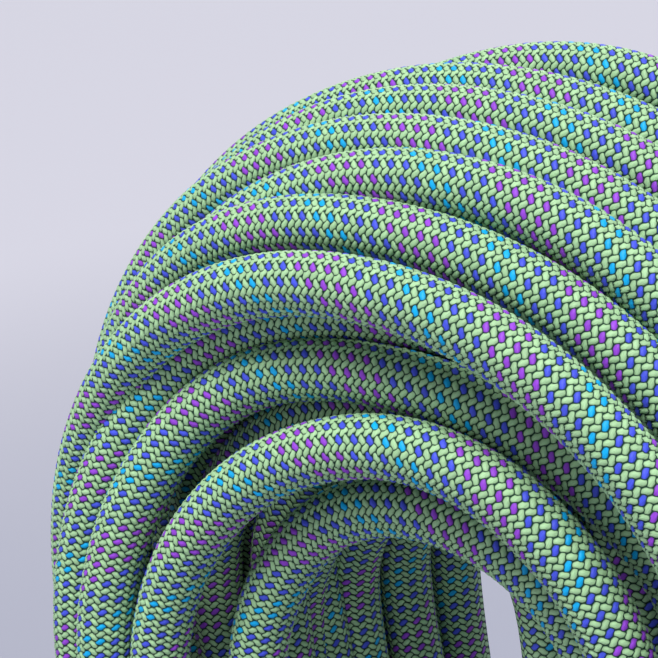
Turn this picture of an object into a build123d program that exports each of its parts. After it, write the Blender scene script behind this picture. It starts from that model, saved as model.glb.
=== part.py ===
"""Dynamic climbing rope, put away as an upright bound hank.

One length of kernmantle rope is laid in some forty turns, gathered at the waist and bound there
with turns of its own end. The hank is one closed solid of the outer shape of all those turns. The
two ends come out from under the binding and show how the rope is built: a braided sheath round
twelve core strands and a tracer tape, closed by a fused tip and a shrink sleeve.

Units are millimetres, +Z is up, and the origin is at the middle of the footprint, on the surface
that the hank stands on. The turns lie side by side along Y, and their eyes open along Y.
"""
import os
from math import cos, pi, radians, sin, tan

from build123d import *

os.makedirs("parts", exist_ok=True)

# Rope
ROPE_DIAMETER = 9.8
SHEATH_WALL = 1.1
STRAND_DIAMETER = 1.6
OUTER_STRANDS = 9
INNER_STRANDS = 3
CORE_CLEARANCE = 0.2
TAPE_WIDTH = 1.0
TAPE_THICKNESS = 0.08
TAPE_CLEARANCE = 0.05

# Hank
HANK_HEIGHT = 510.0
HANK_DEPTH = 78.0
ARCH_RADIUS = 88.0
EYE_RADIUS = 24.0
EYE_OFFSET = 8.0
EYE_TIP_RADIUS = 5.0
EYE_LENGTH = 60.0
WAIST_WIDTH = 114.0
NECK_BLEND_RADIUS = 120.0
BUNDLE_ROUNDING = 26.0
EYE_ROUNDING = 20.0
BASE_FLAT = 8.0

# Binding
BINDING_TURNS = 5
BINDING_EDGE_ROUNDING = 3.0

# Rope ends
TAIL_CLEARANCE = 0.3
SLEEVE_LENGTH = 26.0
SLEEVE_WALL = 0.45
SLEEVE_EDGE_ROUNDING = 0.2
TIP_LENGTH = 3.0
TIP_ROUNDING = 1.2
TIP_OUTSIDE_SLEEVE = 1.5

# Where each end hangs: its place across, how far it stands off the hank, and its drop below the binding
FRONT_TAIL_ROUTE = [(-7.0, 0.0, 0.0), (-7.0, 0.0, 30.0), (-10.5, 3.0, 62.0), (-18.0, 9.0, 106.0)]
BACK_TAIL_ROUTE = [(9.0, 0.0, 0.0), (9.0, 0.0, 26.0), (7.0, 3.0, 56.0), (0.5, 9.0, 96.0)]

# Worked out from the sizes above
ROPE_RADIUS = ROPE_DIAMETER / 2
CORE_BORE_RADIUS = ROPE_RADIUS - SHEATH_WALL
HALF_DEPTH = HANK_DEPTH / 2
UPPER_CENTRE = HANK_HEIGHT - ARCH_RADIUS
LOWER_CENTRE = ARCH_RADIUS - BASE_FLAT
WAIST_HEIGHT = (UPPER_CENTRE + LOWER_CENTRE) / 2
BINDING_HEIGHT = BINDING_TURNS * ROPE_DIAMETER
BINDING_BOTTOM = WAIST_HEIGHT - BINDING_HEIGHT / 2
TAIL_OFFSET = HALF_DEPTH + ROPE_RADIUS + TAIL_CLEARANCE


def turn_degrees(before, corner, after):
    """How far a route turns at a corner."""
    arriving = Vector(*corner) - Vector(*before)
    leaving = Vector(*after) - Vector(*corner)
    return arriving.get_angle(leaving)


def corner_radii(points):
    """The largest arc that each corner's two runs allow."""
    radii = []
    for before, corner, after in zip(points, points[1:], points[2:]):
        shorter = min((Vector(*corner) - Vector(*before)).length, (Vector(*after) - Vector(*corner)).length)
        radii.append(0.45 * shorter / tan(radians(turn_degrees(before, corner, after)) / 2))
    return radii


def tail_points(route, facing):
    """A route's points in space. facing is -1 in front of the hank and 1 behind it."""
    return [(side, facing * (TAIL_OFFSET + out), BINDING_BOTTOM - drop) for side, out, drop in route]


def tail_path(points):
    """The centre line of a rope end: straight runs joined by tangent arcs."""
    with BuildLine() as path:
        FilletPolyline(*points, radius=corner_radii(points))
    return path.wire()


def is_on_eye(edge, eye_centre):
    """Whether an edge of the hank's front or back is the rim of the eye with this centre."""
    beside = abs(edge.center().X) < EYE_RADIUS + EYE_TIP_RADIUS
    level = abs(edge.center().Z - eye_centre) < EYE_LENGTH + 2 * EYE_TIP_RADIUS
    return beside and level


TAILS = {
    "front": tail_points(FRONT_TAIL_ROUTE, -1),
    "back": tail_points(BACK_TAIL_ROUTE, 1),
}
TAIL_PATHS = {name: tail_path(points) for name, points in TAILS.items()}

# The section of a rope end is drawn where it leaves the binding, looking along it.
TAIL_STARTS = {name: Plane(origin=path @ 0, z_dir=path % 0) for name, path in TAIL_PATHS.items()}
TAIL_ENDS = {name: Plane(origin=path @ 1, z_dir=path % 1) for name, path in TAIL_PATHS.items()}

for name, points in TAILS.items():
    print(name, "tail", round(TAIL_PATHS[name].length, 1), "mm long, radii",
          [round(radius) for radius in corner_radii(points)])

# Hank: both arches and the neck between them, with an eye through each arch
with BuildPart() as rope_hank:
    with BuildSketch(Plane.XZ) as outline:
        with Locations((0, UPPER_CENTRE), (0, LOWER_CENTRE)):
            Circle(ARCH_RADIUS)
        with Locations((0, WAIST_HEIGHT)):
            Rectangle(WAIST_WIDTH, UPPER_CENTRE - LOWER_CENTRE)
        fillet(outline.vertices().filter_by(lambda v: abs(abs(v.X) - WAIST_WIDTH / 2) < 1e-3), NECK_BLEND_RADIUS)
    extrude(amount=HALF_DEPTH, both=True)
    fillet(rope_hank.faces().filter_by(Axis.Y).edges(), BUNDLE_ROUNDING)
    for centre, towards_waist in ((UPPER_CENTRE, -1), (LOWER_CENTRE, 1)):
        eye_centre = centre + towards_waist * EYE_OFFSET
        with BuildSketch(Plane.XZ):
            with Locations((0, eye_centre)):
                Circle(EYE_RADIUS)
            with Locations((0, eye_centre + towards_waist * EYE_LENGTH)):
                Circle(EYE_TIP_RADIUS)
            make_hull()
        extrude(amount=HALF_DEPTH, both=True, mode=Mode.SUBTRACT)
        flat_faces = rope_hank.faces().filter_by(Axis.Y)
        rims = flat_faces.edges().filter_by(lambda edge: is_on_eye(edge, eye_centre))
        fillet(rims, EYE_ROUNDING)
    split(bisect_by=Plane.XY, keep=Keep.TOP)

# Binding: the rope's own end, wound round the neck
with BuildPart() as binding_wraps:
    with BuildSketch(Plane.XY.offset(BINDING_BOTTOM)):
        RectangleRounded(
            WAIST_WIDTH + 2 * ROPE_DIAMETER, HANK_DEPTH + 2 * ROPE_DIAMETER, BUNDLE_ROUNDING + ROPE_DIAMETER
        )
        RectangleRounded(WAIST_WIDTH, HANK_DEPTH, BUNDLE_ROUNDING, mode=Mode.SUBTRACT)
    extrude(amount=BINDING_HEIGHT)
    rims = binding_wraps.faces().filter_by(Axis.Z).edges()
    outer_rims = rims.filter_by(lambda e: max(abs(e.center().X) - WAIST_WIDTH / 2,
                                              abs(e.center().Y) - HALF_DEPTH) > ROPE_RADIUS / 2)
    fillet(outer_rims, BINDING_EDGE_ROUNDING)

pieces = {"rope_hank": rope_hank, "binding_wraps": binding_wraps}

for name, path in TAIL_PATHS.items():
    # Sheath: the braided cover, as a plain tube
    with BuildPart() as sheath:
        with BuildSketch(TAIL_STARTS[name]):
            Circle(ROPE_RADIUS)
            Circle(CORE_BORE_RADIUS, mode=Mode.SUBTRACT)
        sweep(path=path)
    pieces[f"{name}_end_sheath"] = sheath

    # Tip: core and sheath fused together
    with BuildPart() as tip:
        with BuildSketch(TAIL_ENDS[name]):
            Circle(ROPE_RADIUS)
        extrude(amount=TIP_LENGTH)
        rim = tip.edges().filter_by(GeomType.CIRCLE).sort_by(Axis.Z)[0]
        fillet(rim, TIP_ROUNDING)
    pieces[f"{name}_end_tip"] = tip

    # Sleeve: shrunk on over the end of the sheath and part of the tip
    with BuildPart() as sleeve:
        with BuildSketch(TAIL_ENDS[name].offset(TIP_LENGTH - TIP_OUTSIDE_SLEEVE)):
            Circle(ROPE_RADIUS + SLEEVE_WALL)
            Circle(ROPE_RADIUS, mode=Mode.SUBTRACT)
        extrude(amount=-SLEEVE_LENGTH)
        fillet(sleeve.edges().filter_by(lambda e: e.geom_type == GeomType.CIRCLE
                                        and e.radius > ROPE_RADIUS + SLEEVE_WALL / 2), SLEEVE_EDGE_ROUNDING)
    pieces[f"{name}_end_sleeve"] = sleeve

# Core: each strand runs through the rope and shows in both ends
OUTER_RING = CORE_BORE_RADIUS - CORE_CLEARANCE - STRAND_DIAMETER / 2
INNER_RING = (STRAND_DIAMETER + TAPE_CLEARANCE) / (2 * sin(pi / INNER_STRANDS))
strand_places = [(OUTER_RING, 360 * i / OUTER_STRANDS) for i in range(OUTER_STRANDS)]
strand_places += [(INNER_RING, 360 * i / INNER_STRANDS) for i in range(INNER_STRANDS)]

for number, (ring, angle) in enumerate(strand_places, start=1):
    with BuildPart() as strand:
        for name, path in TAIL_PATHS.items():
            with BuildSketch(TAIL_STARTS[name]):
                with Locations((ring * cos(radians(angle)), ring * sin(radians(angle)))):
                    Circle(STRAND_DIAMETER / 2)
            sweep(path=path)
    pieces[f"core_strand_{number:02d}"] = strand

# Tracer tape: lies between the core and the sheath, over the gap between two strands
with BuildPart() as tracer_tape:
    for name, path in TAIL_PATHS.items():
        with BuildSketch(TAIL_STARTS[name]):
            with PolarLocations(CORE_BORE_RADIUS - TAPE_CLEARANCE - TAPE_THICKNESS / 2, 1, 180 / OUTER_STRANDS):
                Rectangle(TAPE_THICKNESS, TAPE_WIDTH)
        sweep(path=path)
pieces["tracer_tape"] = tracer_tape

for node, piece in pieces.items():
    piece.part.label = node
    export_step(piece.part, f"parts/{node}.step")
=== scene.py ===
"""Looks of a dynamic climbing rope, put away as an upright bound hank.

The rope is one cord from end to end. It comes up from one free end, is laid in long upright turns,
binds them with nearly five turns round the waist, and tucks its other end down under the binding. Where
the turns fan out at the top of the hank, the braid of the sheath is modelled float by float.

Only at the waist are the turns pushed apart. In the legs and the arches they overlap in many places.
"""
from math import cos, pi, radians, sin, sqrt

import bmesh
import bpy
import numpy as np
from mathutils import Matrix, Vector


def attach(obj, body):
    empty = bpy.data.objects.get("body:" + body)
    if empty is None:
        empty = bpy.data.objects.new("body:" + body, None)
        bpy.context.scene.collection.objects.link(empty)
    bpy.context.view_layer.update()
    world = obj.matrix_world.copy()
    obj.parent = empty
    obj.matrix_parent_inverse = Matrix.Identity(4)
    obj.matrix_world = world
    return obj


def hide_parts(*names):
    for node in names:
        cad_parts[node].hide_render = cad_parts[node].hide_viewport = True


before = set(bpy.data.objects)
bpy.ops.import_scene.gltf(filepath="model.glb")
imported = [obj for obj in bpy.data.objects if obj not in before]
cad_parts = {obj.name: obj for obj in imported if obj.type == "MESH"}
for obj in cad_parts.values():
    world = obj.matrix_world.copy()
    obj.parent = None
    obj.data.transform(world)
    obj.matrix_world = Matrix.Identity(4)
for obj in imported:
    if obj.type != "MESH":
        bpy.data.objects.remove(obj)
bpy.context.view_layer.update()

bl_info = {
    "name": "Bound climbing rope",
    "version": (1, 0, 0),
    "blender": (4, 5, 0),
    "location": "3D View > Sidebar > Rope",
    "description": "A kernmantle rope laid in a bound hank, with its braid, its sleeved ends and a stage",
    "category": "Object",
}

MM = 0.001

# Braid. A stitch is one yarn's width along the rope, and a band is one float's width round it. A float
# leans a little, and its ends reach in between the floats of the next bands.
BANDS = 24
STITCH = 1.28 * MM
YARN_PERIOD = 24
FLOAT_HALF_WIDTH = 0.5
FLOAT_HALF_LENGTH = 0.8
FLOAT_LEAN = 0.35
ROWS_PER_STITCH = 4
GAP_RADIUS = 4.5 * MM
FLOAT_HEIGHT = 0.45 * MM
COVERED_RADIUS = 4.35 * MM

# Turns that show. Before UNEVEN, each is wider and higher than the one inside it: their crowns climb the
# front of the bundle and go back over its top. Each pair is the innermost turn's size and what the outermost
# one adds to it, millimetres.
CROWN_HEIGHT = (442, 58)
CROWN_DEPTH = (-28, 62)
LEFT_SIDE = (25, 55)
RIGHT_SIDE = (38, 42)
LEFT_DROP = (40, 40)
RIGHT_DROP = (30, 50)
# Below 1, the turns nearest the eye grow faster than the outer ones.
NEST_GROWTH = 0.8
# How each turn lies off that even nest, from the eye outwards, in steps of 5 mm: how far its crown stands to
# the right and back, how far its left side is drawn in, and how far its left and right sides stand back.
UNEVEN = (
    (5, 15, 0, 10, 15),
    (10, 5, 0, 0, 5),
    (-5, 10, 0, -5, 15),
    (-5, 10, 0, -5, 30),
    (0, -5, 0, 0, -10),
    (-5, 0, 0, 10, -5),
    (5, 0, 10, 0, -5),
    (0, 0, 0, 5, -5),
    (0, 0, 5, 0, 0),
    (0, 0, 0, 0, 0),
    (15, 0, 10, 0, 0),
)
# Turns whose inner side shows through the eye: how many, and the steps back and across from one to the next
EYE_TURNS = 4
EYE_STEP_BACK = 11
EYE_STEP_ACROSS = 4
EYE_CROWN = 439
EYE_LEFT = 27
EYE_RIGHT = 30
EYE_DROP = 27
# Crowns of the turns inside the bundle lie on a lattice behind the ones that show: its steps in depth and
# height, where it starts, and how near a crown may come to the bundle's surface and to a crown that shows.
LATTICE_STEP = (9.8, 8.5)
LATTICE_START = (34.0, 448.0)
LATTICE_ROWS = 9
SURFACE_MARGIN = 7.5
CROWN_MARGIN = 8.0
WOBBLE_ACROSS = 1.5
ARCH_ASPECT = 0.98
UPPER_CENTRE = 421.0
LOWER_CENTRE = 84.0
WAIST = 251.0
NECK_TOP = 283.0
NECK_BOTTOM = 219.0
FLOOR_CLEARANCE = 5.2
ARCH_STEPS = 6
TURN_POINTS = 28
UPPER_HALF_POINTS = 14
# At the waist each leg of the hank is a rounded square, and its passes are pushed towards this far apart.
LEG_CENTRE = 29.5
LEG_HALF_WIDTH = 24.6
LEG_HALF_DEPTH = 35.0
PASS_SPACING = 9.7
PUSHES = 300
ROUNDED_SQUARE = 2.6

# Binding, millimetres
BINDING_HALF_WIDTH = 64.0
BINDING_HALF_DEPTH = 45.0
BINDING_PITCH = 9.9
BINDING_STEPS = 14
BINDING_POINTS = 66
BINDING_FIRST_ANGLE = radians(140)

# Meshes. The floats are modelled above this height and left of this place, metres.
LINE_RESOLUTION = 64
TUBE_SIDES = 12
TUBE_EVERY = 10
RELIEF_ABOVE = 0.383
RELIEF_LEFT_OF = 0.066
RELIEF_OVERLAP = 1.5 * MM

# The last turn's way up into the binding, and the binding's way over its own top into the back groove
BINDING_START = ((-50, 34, 192), (-45, 40, 208), (-45, 42, 224))
BINDING_END = ((36, 43, 288), (22, 43, 302), (7, 40, 302), (4, 36, 284))

# The two free ends, millimetres, from the tip up to where each goes under the binding
FRONT_TAIL = ((-18, -53.2, 120.5), (-14.2, -50.2, 142.5), (-10.5, -47.2, 164.5), (-7, -44.2, 196.5),
              (-7, -44.2, 212), (-7, -44.2, 227), (-7.5, -40.5, 240), (-8, -36.5, 252))
BACK_TAIL = ((0.5, 53.2, 130.5), (3.7, 50.2, 150.5), (7, 47.2, 170.5), (9, 44.2, 200.5),
             (9, 44.2, 214), (9, 44.2, 227), (8.5, 40.5, 240), (7, 36.5, 254), (5.5, 35.2, 270))


def linear(red, green, blue):
    """A colour given in 0 to 255 display values, as Blender's linear colour."""
    def channel(value):
        value = value / 255
        return value / 12.92 if value <= 0.04045 else ((value + 0.055) / 1.055) ** 2.4
    return (channel(red), channel(green), channel(blue), 1.0)


# ---------------------------------------------------------------- settings


class RopeSettings(bpy.types.PropertyGroup):
    """Sizes and colours of the rope."""

    diameter: bpy.props.FloatProperty(name="Diameter", description="Width of the rope over its sheath",
                                      default=9.8 * MM, unit="LENGTH")
    length: bpy.props.FloatProperty(name="Length", description="Length of the whole rope",
                                    default=40.0, unit="LENGTH")
    ground: bpy.props.FloatVectorProperty(name="Ground yarn", description="Colour of most of the yarns",
                                          size=4, subtype="COLOR", default=linear(182, 226, 170))
    # Painted shade: this dark green is put in the gaps between the floats, where the braid lies in shade.
    shade: bpy.props.FloatVectorProperty(name="Painted gap shade", description="Colour of the gaps between yarns",
                                         size=4, subtype="COLOR", default=linear(12, 60, 42))
    violet: bpy.props.FloatVectorProperty(name="Violet yarn", description="First of the coloured yarns",
                                          size=4, subtype="COLOR", default=linear(162, 74, 228))
    blue: bpy.props.FloatVectorProperty(name="Blue yarn", description="Second of the coloured yarns",
                                        size=4, subtype="COLOR", default=linear(76, 94, 240))
    cyan: bpy.props.FloatVectorProperty(name="Cyan yarn", description="Third of the coloured yarns",
                                        size=4, subtype="COLOR", default=linear(0, 188, 255))


class StageSettings(bpy.types.PropertyGroup):
    """Floor, lights and camera."""

    # Painted shade: the floor is darker near the rope than far off.
    floor_near_shade: bpy.props.FloatVectorProperty(name="Floor near", description="Colour near the rope",
                                              size=4, subtype="COLOR", default=linear(158, 160, 174))
    floor_far: bpy.props.FloatVectorProperty(name="Floor far", description="Colour of the floor far off",
                                             size=4, subtype="COLOR", default=linear(206, 205, 214))
    azimuth: bpy.props.FloatProperty(name="Azimuth", description="How far round to the right it stands",
                                     default=radians(36), subtype="ANGLE")
    elevation: bpy.props.FloatProperty(name="Elevation", description="How far above the rope it stands",
                                       default=radians(13.5), subtype="ANGLE")
    roll: bpy.props.FloatProperty(name="Roll", description="How far the camera is tipped sideways",
                                  default=radians(-10), subtype="ANGLE")
    distance: bpy.props.FloatProperty(name="Distance", description="From the camera to the rope",
                                      default=0.306, unit="LENGTH")
    lens: bpy.props.FloatProperty(name="Lens", description="Focal length on a sensor 36 mm wide",
                                  default=103.8, subtype="DISTANCE_CAMERA")


# ---------------------------------------------------------------- route of the rope


def nested_turns():
    """The turns that show, from the eye of the hank outwards: each one's crown, left side and right side.

    A crown is its place across, depth and height. A side is its place across, depth and drop below the crown.
    """
    turns = []
    for number, (shift, back, drawn_in, left_back, right_back) in enumerate(UNEVEN):
        turned = pi / 2 * number / (len(UNEVEN) - 1)
        share = sin(turned) ** NEST_GROWTH
        depth = CROWN_DEPTH[0] + CROWN_DEPTH[1] * (1 - cos(turned))
        sizes = (CROWN_HEIGHT, LEFT_SIDE, LEFT_DROP, RIGHT_SIDE, RIGHT_DROP)
        height, left, left_drop, right, right_drop = (first + added * share for first, added in sizes)
        turns.append((shift, depth + back, height, drawn_in - left, depth + left_back, left_drop,
                      right, depth + right_back, right_drop))
    return turns


def eye_turns():
    """Turns behind the innermost one, seen through the eye."""
    turns = []
    for number in range(EYE_TURNS):
        across, depth = EYE_STEP_ACROSS * number, EYE_STEP_BACK * number
        turns.append((across, depth, EYE_CROWN, across - EYE_LEFT, depth, EYE_DROP,
                      across + EYE_RIGHT, depth, EYE_DROP))
    return turns


def front_depth(crown):
    """The depth of the hank's front where a turn's crown is this high."""
    rows = nested_turns()
    return np.interp(crown, [row[2] for row in rows], [row[1] for row in rows])


def top_height(depth):
    """The height of the hank's top at this depth."""
    rows = nested_turns()[4:]
    return np.interp(depth, [row[1] for row in rows], [row[2] for row in rows])


def hidden_turns():
    """Turns on a lattice inside the bundle. Only their crowns are kept off the crowns that show."""
    across, up = LATTICE_STEP
    back, lowest = LATTICE_START
    shown = [(row[1], row[2]) for row in nested_turns() + eye_turns()]
    turns = []
    for row in range(LATTICE_ROWS):
        for column in range(LATTICE_ROWS):
            crown = lowest + row * up
            depth = back - column * across - (row % 2) * across / 2
            if depth < front_depth(crown) + SURFACE_MARGIN or crown > top_height(depth) - SURFACE_MARGIN:
                continue
            if min((depth - d) ** 2 + (crown - c) ** 2 for d, c in shown) < CROWN_MARGIN ** 2:
                continue
            wobble = sin(2.1 * row + 1.3 * column)
            rise = crown - UPPER_CENTRE
            half = ARCH_ASPECT * rise + wobble
            turns.append((WOBBLE_ACROSS * wobble, depth, crown, -half, depth, rise, half, depth, rise))
    return turns


def laid_turns():
    """All turns in the order of laying: plane by plane from the front, up and down in turn."""
    turns = nested_turns() + eye_turns() + hidden_turns()
    planes = {}
    for turn in turns:
        planes.setdefault(round((turn[1] + 40) / 11), []).append(turn)
    ordered = []
    for number, plane in enumerate(sorted(planes)):
        ordered += sorted(planes[plane], key=lambda turn: turn[2], reverse=number % 2 == 1)
    return ordered


def waist_places(turns):
    """Where each turn passes the waist: place out from the middle, and depth, pushed towards even spacing."""
    width = np.array([(turn[6] - turn[3]) / 2 for turn in turns], float)
    depth = np.array([(turn[4] + turn[7]) / 2 for turn in turns], float)
    place = np.stack([(width - 54) / 26 * LEG_HALF_WIDTH, depth * 1.05], 1)
    half = np.array([LEG_HALF_WIDTH, LEG_HALF_DEPTH])
    for _ in range(PUSHES):
        gap = place[:, None] - place[None]
        far = np.linalg.norm(gap, axis=2) + np.eye(len(place)) * 99
        push = np.clip(PASS_SPACING - far, 0, None)[..., None] * gap / far[..., None]
        place = place + 0.3 * push.sum(1)
        reach = (np.abs(place / half) ** ROUNDED_SQUARE).sum(1) ** (1 / ROUNDED_SQUARE)
        place /= np.maximum(reach, 1)[:, None]
    return place + np.array([LEG_CENTRE, 0])


def blended(start, end, share):
    """A point part of the way from start to end, easing out of one and into the other across the leg."""
    ease = share * share * (3 - 2 * share)
    x, y = (start[axis] + (end[axis] - start[axis]) * ease for axis in (0, 1))
    return (x, y, start[2] + (end[2] - start[2]) * share)


def turn_points(turn, place, following):
    """One turn's control points: up the left leg, over the top, down the right leg and round the bottom."""
    across, depth, crown, left_across, left_depth, left_drop, right_across, right_depth, right_drop = turn
    step = pi / ARCH_STEPS
    outside = 1 / (0.75 + 0.25 * cos(step))
    left, right = (-place[0], place[1]), (place[0], place[1])
    after = (-following[0], following[1])
    side = (across + (left_across - across) * outside, left_depth, crown - left_drop)
    points = [(*left, WAIST), (*left, NECK_TOP)]
    points += [blended((*left, NECK_TOP), side, share) for share in (0.36, 0.72)]
    for i in range(ARCH_STEPS + 1):
        angle = pi - i * step
        reach, drop, far = (across - left_across, left_drop, left_depth)
        if i > 2:
            reach, drop, far = (right_across - across, right_drop, right_depth)
        points.append((across + reach * outside * cos(angle), depth + (far - depth) * cos(angle) ** 2,
                       crown - drop + drop * outside * sin(angle)))
    side = (across + (right_across - across) * outside, right_depth, crown - right_drop)
    points += [blended(side, (*right, NECK_TOP), share) for share in (0.28, 0.64)]
    points += [(*right, NECK_TOP), (*right, WAIST), (*right, NECK_BOTTOM)]
    half_width = (right_across - left_across) / 2
    rise = max(crown - UPPER_CENTRE, half_width)
    middle = (left_depth + right_depth) / 2
    side = (half_width * outside, middle, LOWER_CENTRE)
    points += [blended((*right, NECK_BOTTOM), side, share) for share in (0.36, 0.72)]
    for i in range(ARCH_STEPS + 1):
        angle = -i * step
        height = LOWER_CENTRE + rise * 1.02 * outside * sin(angle)
        points.append((half_width * outside * cos(angle), middle * 0.98, max(height, FLOOR_CLEARANCE)))
    side = (-half_width * outside, middle, LOWER_CENTRE)
    points += [blended(side, (*after, NECK_BOTTOM), share) for share in (0.28, 0.64)]
    points.append((*after, NECK_BOTTOM))
    return points


def binding_points():
    """Nearly five turns round the waist, wound upwards from the back of the left leg."""
    points = []
    step = 2 * pi / BINDING_STEPS
    outside = 1 / (0.75 + 0.25 * cos(step))
    for i in range(BINDING_POINTS):
        angle = BINDING_FIRST_ANGLE + 2 * pi * i / BINDING_STEPS
        square = abs(cos(angle)) ** ROUNDED_SQUARE + abs(sin(angle)) ** ROUNDED_SQUARE
        square = square ** (-1 / ROUNDED_SQUARE)
        z = WAIST - 2 * BINDING_PITCH + BINDING_PITCH * i / BINDING_STEPS
        points.append((BINDING_HALF_WIDTH * square * cos(angle) * outside,
                       BINDING_HALF_DEPTH * square * sin(angle) * outside, z))
    return points


def route_points():
    """The rope's whole route, in millimetres."""
    turns = laid_turns()
    places = waist_places(turns)
    points = []
    for number, turn in enumerate(turns):
        following = places[min(number + 1, len(turns) - 1)]
        points += turn_points(turn, places[number], following)
    points = list(FRONT_TAIL) + points[1:-1]
    return points + list(BINDING_START) + binding_points() + list(BINDING_END) + list(BACK_TAIL)[::-1]


def smooth_line(points, resolution):
    """The rope's centre line in metres: points on a NURBS spline with the route as its control points."""
    curve = bpy.data.curves.new("rope_route", "CURVE")
    curve.dimensions = "3D"
    spline = curve.splines.new("NURBS")
    spline.points.add(len(points) - 1)
    for point, place in zip(spline.points, points):
        point.co = (place[0] * MM, place[1] * MM, place[2] * MM, 1)
    spline.order_u = 3
    spline.use_endpoint_u = True
    curve.resolution_u = resolution
    holder = bpy.data.objects.new("rope_route", curve)
    mesh = bpy.data.meshes.new_from_object(holder)
    line = np.empty(len(mesh.vertices) * 3)
    mesh.vertices.foreach_get("co", line)
    bpy.data.meshes.remove(mesh)
    bpy.data.objects.remove(holder)
    bpy.data.curves.remove(curve)
    return line.reshape(-1, 3)


def carried_frames(line):
    """Two sideways directions at each point of a line, carried along it without twist."""
    along = np.gradient(line, axis=0)
    along /= np.linalg.norm(along, axis=1)[:, None]
    side = np.empty_like(line)
    current = np.array([0.0, 1.0, 0.0])
    for i, direction in enumerate(along):
        current = current - direction * (current @ direction)
        current /= sqrt(current @ current)
        side[i] = current
    return side, np.cross(along, side)


def distances(line):
    """How far along the line each of its points is."""
    return np.concatenate([[0], np.cumsum(np.linalg.norm(np.diff(line, axis=0), axis=1))])


# ---------------------------------------------------------------- meshes


def float_height(x, y):
    """How high the braid stands at x stitches along and y bands round, from 0 in a gap to 1 on a float."""
    found = []
    for middle, start, lean in ((0.5, 0.5, FLOAT_LEAN), (1.5, 0.0, -FLOAT_LEAN)):
        along = y - (2 * np.round((y - middle) / 2) + middle)
        across = x - lean * along - start
        across = across - np.round(across)
        found.append(1 - (across / FLOAT_HALF_WIDTH) ** 2 - (along / FLOAT_HALF_LENGTH) ** 2)
    parted = np.clip(np.abs(found[0] - found[1]) / 0.25, 0, 1)
    return np.sqrt(np.clip(np.maximum(*found), 0, 1)) * (0.3 + 0.7 * parted)


def on_line(at, places, values):
    """Values carried along the rope, read at these distances."""
    return np.stack([np.interp(places, at, values[:, axis]) for axis in range(3)], -1)


def tube_mesh(name, x, y, radius):
    """A closed tube on the rope's line. x, y and radius are grids of stitches along, bands round and size."""
    rows, columns = x.shape
    places = x * STITCH
    angle = (y * 2 * pi / BANDS)[..., None]
    middle = on_line(built["at"], places, built["line"])
    side = on_line(built["at"], places, built["side"])
    other = on_line(built["at"], places, built["other"])
    vertices = middle + radius[..., None] * (np.cos(angle) * side + np.sin(angle) * other)
    corner = np.arange(columns)
    after = (corner + 1) % columns
    base = np.arange(rows - 1)[:, None] * columns
    quads = np.stack([base + corner, base + after, base + columns + after, base + columns + corner], -1)
    quads = quads.reshape(-1, 4)
    first, last = rows * columns, rows * columns + 1
    end_ring = (rows - 1) * columns
    caps = [(first, int(b), int(a)) for a, b in zip(corner, after)]
    caps += [(last, end_ring + int(a), end_ring + int(b)) for a, b in zip(corner, after)]
    ends = [vertices[0].mean(0), vertices[-1].mean(0)]
    mesh = bpy.data.meshes.new(name)
    mesh.from_pydata(np.concatenate([vertices.reshape(-1, 3), ends]).tolist(), [], quads.tolist() + caps)

    grid = np.stack([x, y], -1)
    grid = np.concatenate([grid, grid[:, :1] + np.array([0.0, BANDS])], 1)
    corners = np.stack([grid[:-1, :-1], grid[:-1, 1:], grid[1:, 1:], grid[1:, :-1]], 2)
    cap_corners = np.repeat(grid[[0, -1], 0], columns * 3, axis=0)
    add_map(mesh, "Stitches", np.concatenate([corners.reshape(-1, 2), cap_corners]))

    length = (x[-1, 0] - x[0, 0]) * STITCH
    strips = max(1, round(sqrt(length / (2 * pi * GAP_RADIUS))))
    run = -(-(rows - 1) // strips)
    row, column = np.meshgrid(np.arange(rows - 1), corner, indexing="ij")
    low = (row % run) / run * 0.99
    high = low + 0.99 / run
    left = (row // run + 0.02 + 0.96 * column / columns) / strips
    right = left + 0.96 / columns / strips
    around = ((low, left), (low, right), (high, right), (high, left))
    corners = np.stack([np.stack(pair, -1) for pair in around], 2)
    cap_corners = np.full((columns * 6, 2), 0.995)
    add_map(mesh, "OFBake", np.concatenate([corners.reshape(-1, 2), cap_corners]))
    mesh.polygons.foreach_set("use_smooth", np.ones(len(mesh.polygons), bool))
    mesh.update()
    piece = bpy.data.objects.new(name, mesh)
    bpy.context.scene.collection.objects.link(piece)
    return piece


def add_map(mesh, name, corners):
    """Gives the mesh a UV map with these corners."""
    mesh.uv_layers.new(name=name).uv.foreach_set("vector", corners.astype(np.float32).ravel())


def relief_stretches():
    """Where the floats are modelled: first and last distance along the rope for each turn that shows."""
    line, at = built["line"], built["at"]
    turns = laid_turns()
    nested = nested_turns()
    share = np.linspace(0, 1, len(line))
    total = len(route_points()) - 2
    found = []
    for number, turn in enumerate(turns):
        if turn not in nested:
            continue
        first = len(FRONT_TAIL) - 1 + number * TURN_POINTS
        inside = (share > first / total) & (share < (first + UPPER_HALF_POINTS) / total)
        shown = np.flatnonzero(inside & (line[:, 2] > RELIEF_ABOVE) & (line[:, 0] < RELIEF_LEFT_OF))
        found.append((at[shown[0]], at[shown[-1]]))
    return found


def finish_piece(piece, material):
    """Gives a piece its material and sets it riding."""
    piece.data.materials.append(material)
    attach(piece, "root")
    return piece


# ---------------------------------------------------------------- materials


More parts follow.
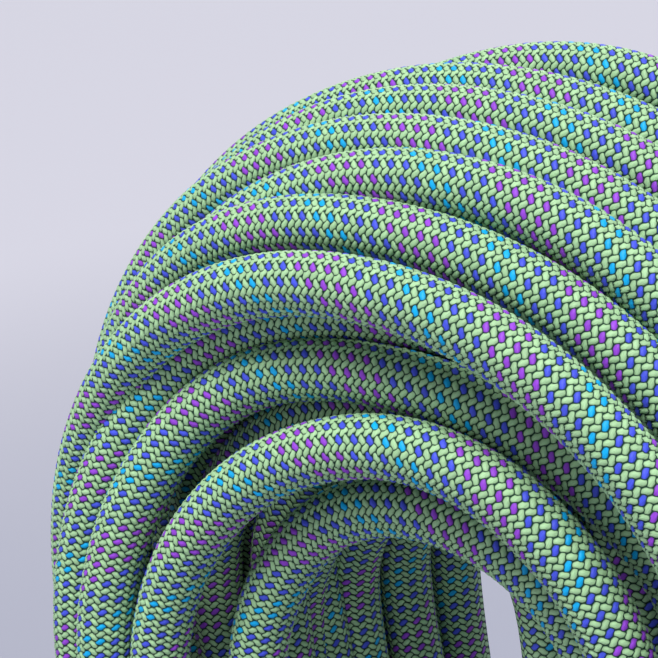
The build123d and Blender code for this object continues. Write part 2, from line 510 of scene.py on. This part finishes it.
class Nodes:
    """Short calls for building a node tree."""

    def __init__(self, tree):
        self.tree = tree

    def add(self, kind, **settings):
        node = self.tree.nodes.new(kind)
        for key, value in settings.items():
            setattr(node, key, value)
        return node

    def put(self, socket, value):
        if isinstance(value, bpy.types.NodeSocket):
            self.tree.links.new(value, socket)
        else:
            socket.default_value = value

    def math(self, operation, *values):
        node = self.add("ShaderNodeMath", operation=operation)
        for socket, value in zip(node.inputs, values):
            self.put(socket, value)
        return node.outputs[0]

    def range(self, value, low, high, to_low=0.0, to_high=1.0, smooth=True):
        node = self.add("ShaderNodeMapRange", interpolation_type="SMOOTHSTEP" if smooth else "LINEAR")
        for socket, number in zip(node.inputs, (value, low, high, to_low, to_high)):
            self.put(socket, number)
        return node.outputs[0]

    def mix(self, share, first, second, blend="MIX"):
        node = self.add("ShaderNodeMix", data_type="RGBA", blend_type=blend)
        self.put(node.inputs[0], share)
        self.put(node.inputs[6], first)
        self.put(node.inputs[7], second)
        return node.outputs[2]

    def combine(self, x, y, z=0.0):
        node = self.add("ShaderNodeCombineXYZ")
        for socket, value in zip(node.inputs, (x, y, z)):
            self.put(socket, value)
        return node.outputs[0]

    def noise(self, vector, scale, detail=2.0, roughness=0.5):
        node = self.add("ShaderNodeTexNoise")
        self.put(node.inputs["Vector"], vector)
        for name, value in (("Scale", scale), ("Detail", detail), ("Roughness", roughness)):
            self.put(node.inputs[name], value)
        return node.outputs["Fac"]


def new_group(name, inputs, outputs):
    """A node group with named sockets, and its input and output nodes."""
    group = bpy.data.node_groups.new(name, "ShaderNodeTree")
    for label, kind in inputs:
        group.interface.new_socket(name=label, in_out="INPUT", socket_type=kind)
    for label, kind in outputs:
        group.interface.new_socket(name=label, in_out="OUTPUT", socket_type=kind)
    nodes = Nodes(group)
    return nodes, nodes.add("NodeGroupInput"), nodes.add("NodeGroupOutput")


def braid_family(n, x, y, middle, start, lean):
    """One family of floats: how high one stands here, its number along, its band and the place on it."""
    pairs = n.math("ROUND", n.math("MULTIPLY", n.math("SUBTRACT", y, middle), 0.5))
    band = n.math("MULTIPLY_ADD", pairs, 2.0, middle)
    along = n.math("SUBTRACT", y, band)
    across = n.math("SUBTRACT", n.math("SUBTRACT", x, n.math("MULTIPLY", along, lean)), start)
    number = n.math("ROUND", across)
    offset = n.math("SUBTRACT", across, number)
    wide = n.math("POWER", n.math("ABSOLUTE", n.math("DIVIDE", offset, FLOAT_HALF_WIDTH)), 2.0)
    tall = n.math("POWER", n.math("ABSOLUTE", n.math("DIVIDE", along, FLOAT_HALF_LENGTH)), 2.0)
    height = n.math("SUBTRACT", n.math("SUBTRACT", 1.0, wide), tall)
    return height, number, band, offset, along


def braid_group():
    """Two over two braid of 48 yarns: colour with painted shade in the gaps, height and roughness, from
    stitches along and bands round.
    """
    found = bpy.data.node_groups.get("Braid")
    if found:
        return found
    colours = [(label, "NodeSocketColor") for label in ("Ground", "Shade", "Violet", "Blue", "Cyan")]
    n, given, out = new_group("Braid", [("Vector", "NodeSocketVector")] + colours,
                              [("Color", "NodeSocketColor"), ("Height", "NodeSocketFloat"),
                               ("Roughness", "NodeSocketFloat")])
    split = n.add("ShaderNodeSeparateXYZ")
    n.put(split.inputs[0], given.outputs["Vector"])
    x, y = split.outputs[0], split.outputs[1]
    dyed, dyed_number, dyed_band, dyed_offset, dyed_along = braid_family(n, x, y, 0.5, 0.5, FLOAT_LEAN)
    plain, plain_number, plain_band, plain_offset, plain_along = braid_family(n, x, y, 1.5, 0.0, -FLOAT_LEAN)
    parting = n.math("SUBTRACT", dyed, plain)
    on_dyed = n.math("GREATER_THAN", parting, 0.0)
    height = n.math("MAXIMUM", dyed, plain)

    yarn = n.math("SUBTRACT", n.math("ADD", dyed_number, 0.5), dyed_band)
    number = n.math("FLOORED_MODULO", yarn, float(YARN_PERIOD))
    undyed = n.math("MODULO", number, 2.0)
    coloured = n.math("MULTIPLY", n.math("SUBTRACT", 1.0, undyed), on_dyed)
    ramp = n.add("ShaderNodeValToRGB")
    ramp.color_ramp.interpolation = "CONSTANT"
    for _ in range(2):
        ramp.color_ramp.elements.new(0.5)
    marks = ((0.0, (1, 0, 0, 1)), (4 / 12, (0, 1, 0, 1)), (7 / 12, (0, 0, 1, 1)), (9 / 12, (0, 1, 0, 1)))
    for element, (position, value) in zip(ramp.color_ramp.elements, marks):
        element.position = position
        element.color = value
    n.put(ramp.inputs[0], n.math("DIVIDE", n.math("ADD", number, 0.5), float(YARN_PERIOD)))
    which = n.add("ShaderNodeSeparateColor")
    n.put(which.inputs[0], ramp.outputs[0])
    tint = n.mix(which.outputs[1], given.outputs["Violet"], given.outputs["Blue"])
    tint = n.mix(which.outputs[2], tint, given.outputs["Cyan"])
    colour = n.mix(coloured, given.outputs["Ground"], tint)

    def chosen(first, second):
        return n.math("MULTIPLY_ADD", on_dyed, n.math("SUBTRACT", first, second), second)

    offset = chosen(dyed_offset, plain_offset)
    along = chosen(dyed_along, plain_along)
    band = chosen(dyed_band, plain_band)
    stitch = chosen(dyed_number, plain_number)
    white = n.add("ShaderNodeTexWhiteNoise", noise_dimensions="2D")
    n.put(white.inputs["Vector"], n.combine(stitch, band))
    threads = n.noise(n.combine(n.math("MULTIPLY", offset, 10.0), n.math("MULTIPLY_ADD", stitch, 7.3, along),
                                n.math("MULTIPLY", band, 3.7)), 1.5, 3.0, 0.6)
    # Random tone from float to float and along the filaments.
    tone_and_edge_shade = n.math("MULTIPLY", n.range(white.outputs[0], 0.0, 1.0, 0.9, 1.08, False),
                  n.range(threads, 0.3, 0.7, 0.82, 1.12, False))
    # Painted shade: the colour darkens down the sides of each float towards the gaps.
    tone_and_edge_shade = n.math("MULTIPLY", tone_and_edge_shade, n.range(height, 0.0, 0.9, 0.62, 1.0))
    lit = n.add("ShaderNodeVectorMath", operation="SCALE")
    n.put(lit.inputs[0], colour)
    n.put(lit.inputs["Scale"], tone_and_edge_shade)

    # Painted shade: where the floats part or sink low, the gap colour takes the place of the yarn's colour.
    parted = n.range(n.math("ABSOLUTE", parting), 0.04, 0.52)
    raised = n.math("MULTIPLY", parted, n.range(height, 0.12, 0.54))
    n.put(out.inputs["Color"], n.mix(raised, given.outputs["Shade"], lit.outputs[0]))
    dome = n.math("SQRT", n.math("MAXIMUM", height, 0.0))
    relief = n.math("MULTIPLY", dome, n.range(raised, 0.0, 1.0, 0.45, 1.0, False))
    n.put(out.inputs["Height"], n.math("MULTIPLY_ADD", threads, 0.16, relief))
    n.put(out.inputs["Roughness"], n.range(height, 0.0, 0.9, 0.85, 0.5))
    return n.tree


def sheath_material(name, bump):
    """Braided polyamide. bump is how deep the braid's own relief is."""
    settings = bpy.context.scene.rope_settings
    material = bpy.data.materials.new(name)
    material.use_nodes = True
    n = Nodes(material.node_tree)
    surface = n.tree.nodes["Principled BSDF"]
    uv = n.add("ShaderNodeUVMap", uv_map="Stitches")
    braid = n.add("ShaderNodeGroup", node_tree=braid_group())
    n.put(braid.inputs["Vector"], uv.outputs[0])
    for label in ("ground", "shade", "violet", "blue", "cyan"):
        n.put(braid.inputs[label.capitalize()], tuple(getattr(settings, label)))
    n.put(surface.inputs["Base Color"], braid.outputs["Color"])
    n.put(surface.inputs["Roughness"], braid.outputs["Roughness"])
    relief = n.add("ShaderNodeBump")
    n.put(relief.inputs["Strength"], 1.0)
    n.put(relief.inputs["Distance"], bump)
    n.put(relief.inputs["Height"], braid.outputs["Height"])
    n.put(surface.inputs["Normal"], relief.outputs[0])
    surface.inputs["Sheen Weight"].default_value = 0.08
    surface.inputs["Sheen Roughness"].default_value = 0.4
    surface.inputs["Specular IOR Level"].default_value = 0.35
    return material


def plain_material(name, colour, roughness, grain, grain_scale):
    """A moulded or twisted material with a fine grain."""
    material = bpy.data.materials.new(name)
    material.use_nodes = True
    n = Nodes(material.node_tree)
    surface = n.tree.nodes["Principled BSDF"]
    place = n.add("ShaderNodeTexCoord")
    noise = n.noise(place.outputs["Object"], grain_scale, 4.0, 0.6)
    darker = tuple(value * 0.7 for value in colour[:3]) + (1.0,)
    n.put(surface.inputs["Base Color"], n.mix(noise, darker, colour))
    n.put(surface.inputs["Roughness"], n.range(noise, 0.3, 0.7, roughness - 0.1, roughness + 0.1))
    relief = n.add("ShaderNodeBump")
    n.put(relief.inputs["Distance"], grain)
    n.put(relief.inputs["Height"], noise)
    n.put(surface.inputs["Normal"], relief.outputs[0])
    return material


def floor_material(near, far):
    """Matt floor with painted shade, a little darker near the rope than far off."""
    material = bpy.data.materials.new("Pale floor")
    material.use_nodes = True
    n = Nodes(material.node_tree)
    surface = n.tree.nodes["Principled BSDF"]
    place = n.add("ShaderNodeTexCoord")
    away = n.add("ShaderNodeVectorMath", operation="LENGTH")
    n.put(away.inputs[0], place.outputs["Object"])
    n.put(surface.inputs["Base Color"], n.mix(n.range(away.outputs["Value"], 0.8, 3.0), near, far))
    surface.inputs["Roughness"].default_value = 0.9
    return material


# ---------------------------------------------------------------- operators

built = {}


class ROPE_OT_cord(bpy.types.Operator):
    """Does nothing: leaves the rope and its pieces as they are"""

    bl_idname = "rope.cord"
    bl_label = "Rope"

    def execute(self, context):
        settings = context.scene.rope_settings
        line = smooth_line(route_points(), LINE_RESOLUTION)
        side, other = carried_frames(line)
        at = distances(line)
        built.update(line=line, side=side, other=other, at=at)
        print("ROPE", "turns", len(laid_turns()), "length", at[-1], "points", len(line))
        picks = np.unique(np.append(np.arange(0, len(line), TUBE_EVERY), len(line) - 1))
        radius = np.full(len(picks), settings.diameter / 2)
        for first, last in relief_stretches():
            inside = np.minimum(at[picks] - first, last - at[picks])
            radius = np.where(inside > RELIEF_OVERLAP, COVERED_RADIUS, radius)
        x = np.repeat((at[picks] / STITCH)[:, None], TUBE_SIDES, 1)
        y = np.repeat((np.arange(TUBE_SIDES) * BANDS / TUBE_SIDES)[None], len(picks), 0)
        piece = tube_mesh("rope_cord", x, y, np.repeat(radius[:, None], TUBE_SIDES, 1))
        finish_piece(piece, sheath_material("Braided sheath", 0.38 * MM))
        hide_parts("rope_hank", "binding_wraps", "front_end_sheath", "back_end_sheath")
        built["cord"] = piece
        built["path"] = line[picks]
        return {"FINISHED"}


class ROPE_OT_floats(bpy.types.Operator):
    """Model the braid's floats on the turns that fan out at the top"""

    bl_idname = "rope.floats"
    bl_label = "Floats"

    def execute(self, context):
        material = sheath_material("Braided sheath in relief", 0.16 * MM)
        built["floats"] = []
        swing = np.tile([-FLOAT_LEAN / 2, 0.0, FLOAT_LEAN / 2, 0.0], BANDS // 2)
        columns = np.arange(2 * BANDS) / 2
        for number, (first, last) in enumerate(relief_stretches(), start=1):
            steps = np.arange(round(first / STITCH * ROWS_PER_STITCH), round(last / STITCH * ROWS_PER_STITCH))
            x = steps[:, None] / ROWS_PER_STITCH + swing[None]
            y = np.repeat(columns[None], len(steps), 0)
            radius = GAP_RADIUS + FLOAT_HEIGHT * float_height(x, y)
            piece = tube_mesh(f"sheath_floats_{number:02d}", x, y, radius)
            finish_piece(piece, material)
            built["floats"].append(piece)
        return {"FINISHED"}


class ROPE_OT_declare(bpy.types.Operator):
    """Say what the rope is, with the pieces that lie on it"""

    bl_idname = "rope.declare"
    bl_label = "Declare rope"

    def execute(self, context):
        return {"FINISHED"}


class ROPE_OT_ends(bpy.types.Operator):
    """Finish the core, the tips and the sleeves of both ends"""

    bl_idname = "rope.ends"
    bl_label = "Ends"

    def execute(self, context):
        finishes = {
            "core": plain_material("Core yarn", linear(226, 225, 216), 0.7, 0.05 * MM, 900.0),
            "tracer": plain_material("Tracer film", linear(214, 176, 60), 0.4, 0.01 * MM, 500.0),
            "sleeve": plain_material("Shrink sleeve", linear(26, 27, 30), 0.35, 0.03 * MM, 350.0),
            "tip": plain_material("Fused tip", linear(92, 116, 78), 0.35, 0.15 * MM, 400.0),
        }
        for name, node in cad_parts.items():
            for word, material in finishes.items():
                if word in name:
                    node.data.materials.clear()
                    node.data.materials.append(material)
        return {"FINISHED"}


class ROPE_OT_stage(bpy.types.Operator):
    """Add the floor, the lights and the camera"""

    bl_idname = "rope.stage"
    bl_label = "Stage"

    def execute(self, context):
        settings = context.scene.stage_settings
        shape = bmesh.new()
        bmesh.ops.create_circle(shape, cap_ends=True, segments=64, radius=30.0)
        mesh = bpy.data.meshes.new("floor")
        shape.to_mesh(mesh)
        shape.free()
        floor = bpy.data.objects.new("floor", mesh)
        context.scene.collection.objects.link(floor)
        mesh.materials.append(floor_material(settings.floor_near_shade, settings.floor_far))

        world = bpy.data.worlds.new("Soft sky")
        world.use_nodes = True
        sky = world.node_tree.nodes["Background"]
        sky.inputs["Color"].default_value = linear(216, 218, 234)
        sky.inputs["Strength"].default_value = 0.38
        context.scene.world = world
        context.scene.view_settings.view_transform = "Standard"
        for name, kind, place, size, power in (
            ("Key", "SUN", (0.3, -0.45, 1.5), radians(30), 3.0),
            ("Fill", "AREA", (-1.1, -0.9, 0.9), 1.0, 2.0),
            ("Back", "AREA", (-0.3, 1.2, 1.3), 0.9, 5.0),
        ):
            light = bpy.data.lights.new(name, kind)
            if kind == "SUN":
                light.angle = size
            else:
                light.size = size
            light.energy = power
            lamp = bpy.data.objects.new(name, light)
            lamp.location = place
            aim = Vector((0, 0, 0.35)) - Vector(place)
            lamp.rotation_euler = aim.to_track_quat("-Z", "Y").to_euler()
            context.scene.collection.objects.link(lamp)

        camera_data = bpy.data.cameras.new("Camera")
        camera_data.lens = settings.lens
        camera_data.sensor_width = 36.0
        camera = bpy.data.objects.new("Camera", camera_data)
        az, el, roll = settings.azimuth, settings.elevation, settings.roll
        forward = Vector((-sin(az) * cos(el), cos(az) * cos(el), -sin(el)))
        right = Vector((cos(az), sin(az), 0))
        up = right.cross(forward)
        tipped_right = cos(roll) * right + sin(roll) * up
        tipped_up = cos(roll) * up - sin(roll) * right
        turned = Matrix((tipped_right, tipped_up, -forward)).transposed()
        camera.rotation_euler = turned.to_euler()
        camera.location = Vector((-0.010, 0.0, 0.4665)) - forward * settings.distance
        context.scene.collection.objects.link(camera)
        context.scene.camera = camera
        return {"FINISHED"}


class ROPE_PT_panel(bpy.types.Panel):
    """Lists the rope's pieces and their settings"""

    bl_label = "Climbing rope"
    bl_space_type = "VIEW_3D"
    bl_region_type = "UI"
    bl_category = "Rope"

    def draw(self, context):
        for operator in OPERATORS:
            self.layout.operator(operator.bl_idname)
        for settings in (context.scene.rope_settings, context.scene.stage_settings):
            for name in settings.__annotations__:
                self.layout.prop(settings, name)


OPERATORS = (ROPE_OT_stage, ROPE_OT_cord, ROPE_OT_floats, ROPE_OT_ends, ROPE_OT_declare)
CLASSES = (RopeSettings, StageSettings) + OPERATORS + (ROPE_PT_panel,)


def register():
    for item in CLASSES:
        bpy.utils.register_class(item)
    bpy.types.Scene.rope_settings = bpy.props.PointerProperty(type=RopeSettings)
    bpy.types.Scene.stage_settings = bpy.props.PointerProperty(type=StageSettings)


def unregister():
    del bpy.types.Scene.rope_settings
    del bpy.types.Scene.stage_settings
    for item in reversed(CLASSES):
        bpy.utils.unregister_class(item)


def main():
    register()
    bpy.ops.rope.stage()
    bpy.ops.rope.cord()
    bpy.ops.rope.floats()
    bpy.ops.rope.ends()
    bpy.ops.rope.declare()


if __name__ == "__main__":
    main()
